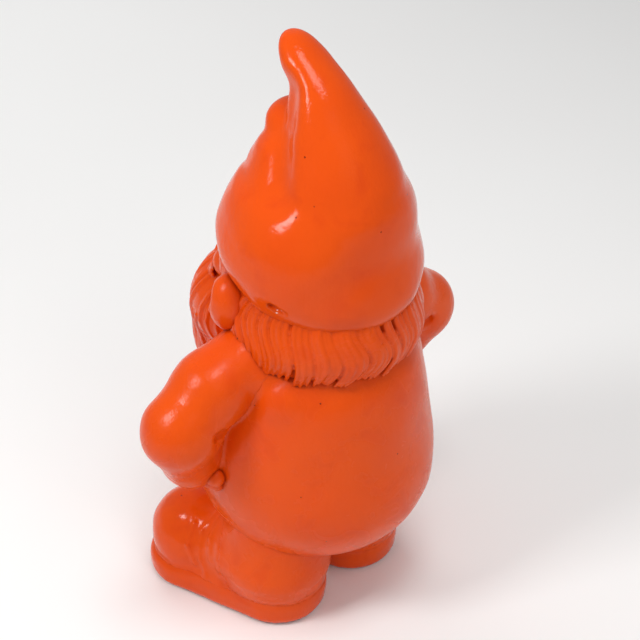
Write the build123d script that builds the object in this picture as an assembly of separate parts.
"""Garden gnome, about 415 mm tall, in painted cast resin.

A bearded figure stands on two thick-soled boots with its hands on its hips.
It wears a long coat with no belt and a tall cap whose tip bends forwards.
The castings are hollow where they are fat and solid where they are slim.
They meet on spigots, seats and steel pins, and are bonded there.

Millimetres.  +Z is up, the face looks along -Y, and the figure's left is +X.
The origin is on the ground, under the middle of the figure's bounding box.
Each piece is written to parts/NODE.step as one closed solid.
"""

from build123d import *
import os
from math import asin, cos, pi, sin

# ---------------------------------------------------------------- driving dimensions
WALL = 5.0  # thickness of a hollow casting
FIT = 0.2  # radial gap that the adhesive fills on a pin, a spigot or a seat
GAP = 0.3  # clear space between curved skins that only lie close together

AXIS_Y = 17.5  # the coat, hair and cap stand this far behind the origin

SOLE_THICK = 20.0
SOLE_EDGE = 4.0  # rounding of the sole's two edges
FOOT_X = 37.0  # middle of the heel, out from the middle plane
FOOT_Y = -1.0  # middle of the heel, from the cap's axis
FOOT_SPLAY = 14.0  # degrees that each toe turns outwards
HEEL_R = 30.0
TOE_R = 34.0
HEEL_TO_TOE = 70.0  # between the centres of the heel's and the toe's rounds

UPPER_INSET = 2.5  # the boot's upper stands this far in from the sole's edge
TOE_BALL_R = 33.0
TOE_BALL_Z = 31.0
TOE_BALL_BACK = 1.0  # the toe ball's centre, behind the centre of the toe's round
INSTEP_R = 28.0
INSTEP_Z = 30.0
INSTEP_AHEAD = 10.0  # the instep's centre, ahead of the heel's

LEG_TOP_X = 36.0
LEG_TOP_R = 33.0
LEG_CUFF_R = 32.0
LEG_CUFF_Z = 42.0  # centre of the cuff's round
LEG_CUFF_LAP = 7.0  # the cuff hangs over the boot, down to this far above the sole

COAT_HEM_Z = 63.0
COAT_FLOOR_R = 60.0  # flat part of the underside
COAT_BELLY_R = 84.0
COAT_BELLY_Z = 118.0
COAT_CHEST_R = 75.0
COAT_CHEST_Z = 175.0
COAT_TOP_R = 56.0
COAT_TOP_Z = 212.0
COAT_AHEAD = 5.0  # the belly's axis, ahead of the cap's

NECK_R = 38.0
NECK_SPIGOT_R = 24.0
NECK_SPIGOT_LONG = 12.0  # below the collar seat
NECK_BORE_R = 14.0  # lets the head drain into the coat when it is cast
HEAD_R = 53.0
HEAD_Z = 263.0
HEAD_AHEAD = 13.0
NOSE_R = 15.0
NOSE_AHEAD = 82.0
NOSE_Z = 262.0
CHEEK_R = 17.0
CHEEK_X = 24.0
CHEEK_AHEAD = 53.0
CHEEK_Z = 257.0
EAR_R = 12.0
EAR_X = 57.0
EAR_AHEAD = 24.0
EAR_Z = 245.0
EAR_TALL = 40.0

CAP_RIM_Z = 255.0  # middle of the rim's plane
CAP_TILT = 15.5  # degrees that the rim rises towards the face
CAP_RIM_R = 58.0
CAP_BULGE_R = 65.0
CAP_TIP_R = 15.0
CAP_TIP_Z = 398.0  # centre of the tip's round
CAP_TIP_AHEAD = 16.0

HAIR_BOTTOM_Z = 207.0
HAIR_ROOT_Z = 267.0  # hidden under the cap
HAIR_BULGE_R = 67.0
HAIR_BULGE_Z = 224.0
HAIR_HEM_R = 61.0
HAIR_WAIST_R = 60.0  # where the hair draws in under the cap
HAIR_WAIST_Z = 250.0
HAIR_ROOT_R = 44.0
HAIR_INSIDE_R = 30.0  # well inside the neck, which trims it
HAIR_BACK = 2.0  # the hair's axis stands this far behind the cap's
HAIR_AHEAD = 26.0  # the hair starts this far ahead of the cap's axis, behind each ear

BEARD_R = 42.0
BEARD_HALF_WIDE = 12.0  # from the middle plane to the centre of each side's round
BEARD_AHEAD = 60.0
BEARD_Z = 214.0
BIB_R = 35.0
BIB_HALF_WIDE = 8.0
BIB_AHEAD = 80.0
BIB_Z = 182.0

ELBOW_OUT = 22.0  # the elbow's joint centre, beyond the coat's widest skin
WRIST_OUT = 1.0
KNUCKLES_OUT = -13.0
SHOULDER = (50.0, -6.0, 202.0)  # joint centres of the left arm, from the cap's axis
ELBOW = (COAT_BELLY_R + ELBOW_OUT, -15.0, 167.0)
WRIST = (COAT_BELLY_R + WRIST_OUT, -25.0, 140.0)
SHOULDER_R = 35.0
ELBOW_R = 30.0
FOREARM_R = 26.0
WRIST_R = 20.0
WEB_R = 21.0  # the casting closes the crook of the arm with a web
ARM_CAVITY_START = 0.7  # share of the way from shoulder to elbow where the hollow starts
CUFF_PAST_WRIST = 6.0  # the sleeve's flat end, beyond the wrist joint
HAND_PEG_R = 6.0
HAND_PEG_LONG = 10.0

KNUCKLES = (COAT_BELLY_R + KNUCKLES_OUT, -49.0, 133.0)
THUMB_ROOT = (COAT_BELLY_R - 3.0, -32.0, 129.0)
THUMB_TIP = (COAT_BELLY_R + 3.0, -8.0, 123.0)
HAND_R = 14.0
FINGERS_R = 12.5
THUMB_R = 8.0

LEG_ROD_R = 4.0
LEG_ROD_FOOT_Z = 25.0
LEG_ROD_TOP_Z = 94.0
LEG_ROD_X = 37.0
ROD_BOSS_WALL = 8.0  # resin around a rod or a pin inside the coat

SHOULDER_PIN_R = 3.0
SHOULDER_PIN_IN = 16.0  # on the body's side of the coat's skin
SHOULDER_PIN_OUT = 18.0  # on the arm's side
SHOULDER_PIN_Z = 193.0
SHOULDER_PAD_OUT = 6.0  # the coat's round pad stands this far out of its skin

PLUG_R = 10.0
PLUG_FLANGE_R = 13.0
PLUG_FLANGE_THICK = 2.5
PLUG_AHEAD = -41.0  # behind the legs, where the underside is clear


# ---------------------------------------------------------------- helpers
def place(ahead_y, x=0.0, z=0.0):
    """A point from its distance ahead of the cap's axis."""
    return Vector(x, AXIS_Y - ahead_y, z)


def from_axis(point):
    """A point given from the cap's axis, in the figure's frame."""
    x, y, z = point
    return Vector(x, AXIS_Y + y, z)


def arc_point(centre_h, radius, angle):
    """A point (radius, height) on a round about the turning axis."""
    return (radius * cos(angle), centre_h + radius * sin(angle))


def turned(curves):
    """The solid that an outline in the XZ plane makes when it turns about Z."""
    return revolve(Plane.XZ * make_face(Curve() + curves), Axis.Z, 360)


def capsule(a, b, radius_a, radius_b):
    """A tapered capsule: a ball at each end and the cone that touches both."""
    a, b = Vector(a), Vector(b)
    span = (b - a).length
    lean = asin((radius_a - radius_b) / span)
    low, high = -pi / 2, pi / 2
    outline = [
        ThreePointArc(
            arc_point(0, radius_a, low),
            arc_point(0, radius_a, (low + lean) / 2),
            arc_point(0, radius_a, lean),
        ),
        Line(arc_point(0, radius_a, lean), arc_point(span, radius_b, lean)),
        ThreePointArc(
            arc_point(span, radius_b, lean),
            arc_point(span, radius_b, (lean + high) / 2),
            arc_point(span, radius_b, high),
        ),
        Line((0, span + radius_b), (0, -radius_a)),
    ]
    return Plane(origin=a, z_dir=b - a) * turned(outline)


def rod(low, high, radius):
    """A straight round bar between two points."""
    low, high = Vector(low), Vector(high)
    bar = Cylinder(radius, (high - low).length, align=(Align.CENTER, Align.CENTER, Align.MIN))
    return Plane(origin=low, z_dir=high - low) * bar


def slab(low_z, high_z, side=400.0):
    """A wide slab between two heights, used to trim."""
    return Pos(0, 0, (low_z + high_z) / 2) * Box(side, side, high_z - low_z)


def mirrored(solid):
    """The other side's copy."""
    return mirror(solid, about=Plane.YZ)


def between(a, b, share):
    """The point at a share of the way from a to b."""
    return tuple(p + (q - p) * share for p, q in zip(a, b))


# ---------------------------------------------------------------- coat
COAT_Y = AXIS_Y - COAT_AHEAD


def coat_skin(inset):
    """The coat's barrel as a solid, with its skin moved in by inset."""
    low, high = COAT_HEM_Z + inset, COAT_TOP_Z - inset
    side = Spline(
        (COAT_FLOOR_R - inset, low),
        (COAT_BELLY_R - 4.0 - inset, (COAT_HEM_Z + COAT_BELLY_Z) / 2 - 4.0),
        (COAT_BELLY_R - inset, COAT_BELLY_Z),
        (COAT_CHEST_R - inset, COAT_CHEST_Z),
        (COAT_TOP_R - inset, high),
        tangents=[(1, 0), (-0.75, 1)],
    )
    outline = [
        Line((0, low), (COAT_FLOOR_R - inset, low)),
        side,
        Line((COAT_TOP_R - inset, high), (0, high)),
        Line((0, high), (0, low)),
    ]
    return Pos(0, COAT_Y, 0) * turned(outline)


def level_bar(low_x, high_x, radius):
    """A bar along the left shoulder pin's line."""
    y = AXIS_Y + SHOULDER[1]
    return rod((low_x, y, SHOULDER_PIN_Z), (high_x, y, SHOULDER_PIN_Z), radius)


def leg_rod_axis(low_z, high_z, radius):
    """A bar along the left leg rod's line."""
    y = AXIS_Y + FOOT_Y
    return rod((LEG_ROD_X, y, low_z), (LEG_ROD_X, y, high_z), radius)


def shoulder_x():
    """How far out the coat's skin is at the height of the shoulder pins."""
    slice_of_coat = coat_skin(0) & slab(SHOULDER_PIN_Z, SHOULDER_PIN_Z + 1.0)
    return slice_of_coat.bounding_box().max.X


def coat(skin, skin_x):
    """The hollow coat, with bosses for the rods and pins and a hole for the plug."""
    shell = skin - coat_skin(WALL)
    boss_r = LEG_ROD_R + ROD_BOSS_WALL
    leg_boss = leg_rod_axis(COAT_HEM_Z - GAP, LEG_ROD_TOP_Z + WALL, boss_r)
    pad_low = skin_x - SHOULDER_PIN_IN - WALL
    pad = level_bar(pad_low, skin_x + SHOULDER_PAD_OUT, SHOULDER_PIN_R + ROD_BOSS_WALL)
    for boss in (leg_boss, pad):
        shell = shell + boss + mirrored(boss)
    rod_hole = leg_rod_axis(COAT_HEM_Z - WALL, LEG_ROD_TOP_Z, LEG_ROD_R + FIT)
    pin_hole = shoulder_pin(skin_x, FIT)
    for hole in (rod_hole, pin_hole):
        shell = shell - hole - mirrored(hole)
    collar_low = place(HEAD_AHEAD, z=COAT_TOP_Z - 2 * WALL)
    collar_high = place(HEAD_AHEAD, z=COAT_TOP_Z + WALL)
    plug_low = place(PLUG_AHEAD + COAT_AHEAD, z=COAT_HEM_Z - WALL)
    plug_high = place(PLUG_AHEAD + COAT_AHEAD, z=COAT_HEM_Z + 2 * WALL)
    shell = shell - rod(collar_low, collar_high, NECK_SPIGOT_R + FIT)
    return shell - rod(plug_low, plug_high, PLUG_R)


def drain_plug():
    """The rubber bung that closes the casting's drain hole from below."""
    foot = place(PLUG_AHEAD + COAT_AHEAD, z=COAT_HEM_Z - PLUG_FLANGE_THICK)
    seat = place(PLUG_AHEAD + COAT_AHEAD, z=COAT_HEM_Z)
    top = place(PLUG_AHEAD + COAT_AHEAD, z=COAT_HEM_Z + WALL)
    lip = place(PLUG_AHEAD + COAT_AHEAD, z=COAT_HEM_Z + WALL + PLUG_FLANGE_THICK)
    return rod(foot, seat, PLUG_FLANGE_R) + rod(seat, top, PLUG_R) + rod(top, lip, PLUG_R + 1.0)


# ---------------------------------------------------------------- legs, boots and soles
def foot_frame():
    """The left foot's own frame: heel at the origin, toe along -Y."""
    return Pos(FOOT_X, AXIS_Y + FOOT_Y, 0) * Rot(0, 0, FOOT_SPLAY)


def sole_outline(inset):
    """The footprint: a heel round and a toe round, joined by their tangents."""
    heel = Circle(HEEL_R - inset)
    toe = Pos(0, -HEEL_TO_TOE) * Circle(TOE_R - inset)
    return make_hull(heel.edges() + toe.edges())


def sole():
    """The left boot's thick sole, flat underneath."""
    plate = extrude(sole_outline(0), SOLE_THICK)
    edges = plate.edges().group_by(Axis.Z)
    return foot_frame() * fillet(edges[0] + edges[-1], SOLE_EDGE)


def leg_skin():
    """The left trouser leg, from inside the coat to its cuff over the boot."""
    hip = from_axis((LEG_TOP_X, FOOT_Y, COAT_HEM_Z + LEG_TOP_R))
    cuff = from_axis((FOOT_X, FOOT_Y, LEG_CUFF_Z))
    leg = capsule(hip, cuff, LEG_TOP_R, LEG_CUFF_R)
    return leg - slab(0, SOLE_THICK + LEG_CUFF_LAP)


def boot_skin():
    """The left boot's upper: a round toe cap, an instep and a heel."""
    toe_y = TOE_BALL_BACK - HEEL_TO_TOE
    toe, instep = (0, toe_y, TOE_BALL_Z), (0, -INSTEP_AHEAD, INSTEP_Z)
    upper = capsule(toe, instep, TOE_BALL_R, INSTEP_R)
    heel_r = HEEL_R - UPPER_INSET
    upper = upper + Cylinder(heel_r, 2 * INSTEP_Z)
    room = extrude(sole_outline(UPPER_INSET), SOLE_THICK + 2 * TOE_BALL_R)
    low = INSTEP_Z + LEG_CUFF_LAP
    upper = (upper & room) - slab(-TOE_BALL_R, SOLE_THICK)
    heel_top = Pos(0, HEEL_R, low + 2 * TOE_BALL_R) * Box(4 * HEEL_R, 2 * HEEL_R, 4 * TOE_BALL_R)
    return foot_frame() * (upper - heel_top)


# ---------------------------------------------------------------- arms, hands and pins
def cuff_block(side):
    """A block on the hand's side (1) or the arm's side (-1) of the sleeve's flat end."""
    elbow, wrist = from_axis(ELBOW), from_axis(WRIST)
    along = (wrist - elbow).normalized()
    half = ELBOW_R * 2
    block = Pos(0, 0, side * half) * Box(2 * half, 2 * half, 2 * half)
    return Plane(origin=wrist + along * CUFF_PAST_WRIST, z_dir=along) * block


def arm_skin():
    """The left arm: sleeve, forearm and the web that closes the crook."""
    shoulder, elbow, wrist = from_axis(SHOULDER), from_axis(ELBOW), from_axis(WRIST)
    sleeve = capsule(shoulder, elbow, SHOULDER_R, ELBOW_R)
    forearm = capsule(elbow, wrist, FOREARM_R, WRIST_R)
    web = capsule(shoulder, wrist, WEB_R, WRIST_R - 1.0)
    return sleeve + forearm + web - cuff_block(1)


def arm_cavity():
    """The hollow of the left sleeve."""
    start = from_axis(between(SHOULDER, ELBOW, ARM_CAVITY_START))
    shoulder_share = SHOULDER_R + (ELBOW_R - SHOULDER_R) * ARM_CAVITY_START
    return capsule(start, from_axis(ELBOW), shoulder_share - 2 * WALL, ELBOW_R - WALL)


def shoulder_pin(skin_x, ease=0.0):
    """The steel pin from the coat's pad into the left arm, or its hole."""
    return level_bar(skin_x - SHOULDER_PIN_IN, skin_x + SHOULDER_PIN_OUT, SHOULDER_PIN_R + ease)


def arm(skin, skin_x):
    """The left arm, with the pocket that fits the coat's pad and the pin's hole."""
    pocket_r = SHOULDER_PIN_R + ROD_BOSS_WALL + FIT
    pocket = level_bar(0, skin_x + SHOULDER_PAD_OUT, pocket_r)
    room = coat_skin(-GAP) + head_core(GAP) + pocket
    return skin - room - ear(GAP) - arm_cavity() - shoulder_pin(skin_x, FIT) - hand_peg(FIT)


def hand_peg(ease=0.0):
    """The peg that holds the left hand in the sleeve, or its hole."""
    elbow, wrist = from_axis(ELBOW), from_axis(WRIST)
    along = (wrist - elbow).normalized()
    tip = wrist + along * (CUFF_PAST_WRIST - HAND_PEG_LONG)
    root = wrist + along * (CUFF_PAST_WRIST + HAND_PEG_R)
    return rod(tip, root, HAND_PEG_R + ease)


def hand():
    """The left hand on the hip: fingers forwards, thumb back, peg in the sleeve."""
    palm = capsule(from_axis(WRIST), from_axis(KNUCKLES), HAND_R, FINGERS_R)
    thumb = capsule(from_axis(THUMB_ROOT), from_axis(THUMB_TIP), THUMB_R, THUMB_R - 1.0)
    return palm + thumb - cuff_block(-1) + hand_peg() - coat_skin(-GAP)


# ---------------------------------------------------------------- head, hair and beard
def head_core(grow=0.0):
    """Skull and neck, standing on the coat's collar."""
    centre = place(HEAD_AHEAD, z=HEAD_Z)
    seat = place(HEAD_AHEAD, z=COAT_TOP_Z)
    return Pos(centre) * Sphere(HEAD_R + grow) + rod(seat, centre, NECK_R + grow)


def ear(grow=0.0):
    """The left ear."""
    half_long = EAR_TALL / 2 - EAR_R
    low = place(EAR_AHEAD, EAR_X, EAR_Z - half_long)
    high = place(EAR_AHEAD, EAR_X, EAR_Z + half_long)
    return capsule(low, high, EAR_R - 1.0 + grow, EAR_R + grow)


def head_skin():
    """Skull, neck, nose, cheeks and ears as one solid."""
    skull = head_core()
    nose_root = place(NOSE_AHEAD - NOSE_R, z=NOSE_Z + 1.0)
    skull = skull + capsule(nose_root, place(NOSE_AHEAD, z=NOSE_Z), NOSE_R - 4.0, NOSE_R)
    cheek = Pos(place(CHEEK_AHEAD, CHEEK_X, CHEEK_Z)) * Rot(0, 0, 90) * Sphere(CHEEK_R)
    for feature in (ear(), cheek):
        skull = skull + feature + mirrored(feature)
    return skull


def head(skin):
    """The hollow head, with a spigot that drops into the coat's collar."""
    centre = place(HEAD_AHEAD, z=HEAD_Z)
    spigot_end = place(HEAD_AHEAD, z=COAT_TOP_Z - NECK_SPIGOT_LONG)
    whole = skin + rod(spigot_end, centre, NECK_SPIGOT_R)
    hollow = Pos(centre) * Sphere(HEAD_R - WALL)
    bore_end = place(HEAD_AHEAD, z=COAT_TOP_Z - 2 * NECK_SPIGOT_LONG)
    return whole - hollow - rod(bore_end, centre, NECK_BORE_R)


def hair_ring():
    """The hair's full ring, before it is fitted round the head and shoulders."""
    hem, root = (HAIR_HEM_R, HAIR_BOTTOM_Z), (HAIR_ROOT_R, HAIR_ROOT_Z)
    hem_inside, root_inside = (HAIR_INSIDE_R, HAIR_BOTTOM_Z), (HAIR_INSIDE_R, HAIR_ROOT_Z)
    outline = [
        Line(hem_inside, hem),
        Spline(hem, (HAIR_BULGE_R, HAIR_BULGE_Z), (HAIR_WAIST_R, HAIR_WAIST_Z), root),
        Line(root, root_inside),
        Line(root_inside, hem_inside),
    ]
    ring = Pos(0, AXIS_Y + HAIR_BACK, 0) * turned(outline)
    ahead = Pos(0, AXIS_Y - HAIR_AHEAD - HEAD_R, HAIR_BULGE_Z)
    return ring - ahead * Box(4 * HEAD_R, 2 * HEAD_R, 2 * HEAD_R)


def beard_skin():
    """The beard's mass: a broad upper part and a bib on the chest."""
    upper = capsule(
        place(BEARD_AHEAD, -BEARD_HALF_WIDE, BEARD_Z),
        place(BEARD_AHEAD, BEARD_HALF_WIDE, BEARD_Z),
        BEARD_R,
        BEARD_R,
    )
    bib = capsule(
        place(BIB_AHEAD, -BIB_HALF_WIDE, BIB_Z),
        place(BIB_AHEAD, BIB_HALF_WIDE, BIB_Z),
        BIB_R,
        BIB_R,
    )
    return upper + bib


# ---------------------------------------------------------------- cap
def cap_stations(inset):
    """Level, lean and size of the cap's rounds, from the rim up to the tip."""
    rise = CAP_TIP_Z - CAP_RIM_Z
    bulge = CAP_BULGE_R - inset
    rows = [  # share of the rise, forward shift, lean in degrees, radius
        (0.00, 0.0, CAP_TILT, CAP_RIM_R - inset),
        (0.12, 0.0, CAP_TILT * 0.9, bulge - 1.0),
        (0.27, 0.0, CAP_TILT * 0.7, bulge),
        (0.44, 0.0, CAP_TILT * 0.4, bulge * 0.87),
        (0.62, -4.0, 0.0, bulge * 0.65),
        (0.78, -5.0, -4.0, bulge * 0.44),
        (0.90, 1.0, -22.0, bulge * 0.31),
        (1.00, CAP_TIP_AHEAD, -45.0, CAP_TIP_R - 1.0 - inset),
    ]
    return [(CAP_RIM_Z + share * rise, shift, lean, radius) for share, shift, lean, radius in rows]


def cap_loft(inset, first=0, last=None):
    """A solid through the cap's rounds."""
    rounds = []
    for z, ahead, lean, radius in cap_stations(inset)[first:last]:
        level = Location(place(ahead, z=z), (-lean, 0, 0))
        rounds.append(level * Circle(radius))
    return loft(rounds)


def cap_skin():
    """The cap's outside, closed across the rim and rounded at the tip."""
    tip = place(CAP_TIP_AHEAD, z=CAP_TIP_Z)
    return cap_loft(0) + Pos(tip) * Sphere(CAP_TIP_R)


def cap(skin, head_body):
    """The hollow cap, seated on the skull."""
    seat = Pos(place(HEAD_AHEAD, z=HEAD_Z)) * Sphere(HEAD_R)
    return skin - cap_loft(WALL, first=1, last=-2) - seat - head_body


# ---------------------------------------------------------------- assembly
def build():
    """Every piece, each under the name of its node."""
    legs, boots, arms = leg_skin(), boot_skin(), arm_skin()
    heads, caps = head_skin(), cap_skin()
    skin_x = shoulder_x()
    room_for_coat = coat_skin(-GAP)
    left_arm = arm(arms, skin_x)
    around_beard = room_for_coat + arms + mirrored(arms)
    rod_hole = leg_rod_axis(LEG_ROD_FOOT_Z, LEG_ROD_TOP_Z, LEG_ROD_R + FIT)

    left = {
        "sole": sole(),
        "boot": boots - legs - rod_hole,
        "leg": legs - room_for_coat - rod_hole,
        "arm": left_arm,
        "hand": hand(),
        "leg_rod": leg_rod_axis(LEG_ROD_FOOT_Z, LEG_ROD_TOP_Z, LEG_ROD_R),
        "shoulder_pin": shoulder_pin(skin_x),
    }
    pieces = {
        "coat": coat(coat_skin(0), skin_x),
        "drain_plug": drain_plug(),
        "head": head(heads),
        "cap": cap(caps, heads),
        "hair": hair_ring() - heads - around_beard - caps,
        "beard": beard_skin() - heads - around_beard,
    }
    for name, solid in left.items():
        pieces["left_" + name] = solid
        pieces["right_" + name] = mirrored(solid)
    return pieces


def largest(shape):
    """The main solid of a cut, without the crumbs that trimming can leave."""
    return max(shape.solids(), key=lambda solid: solid.volume)


os.makedirs("parts", exist_ok=True)
for node, shape in build().items():
    export_step(largest(shape), f"parts/{node}.step")
    print(node, "volume", round(largest(shape).volume), "of", round(shape.volume))
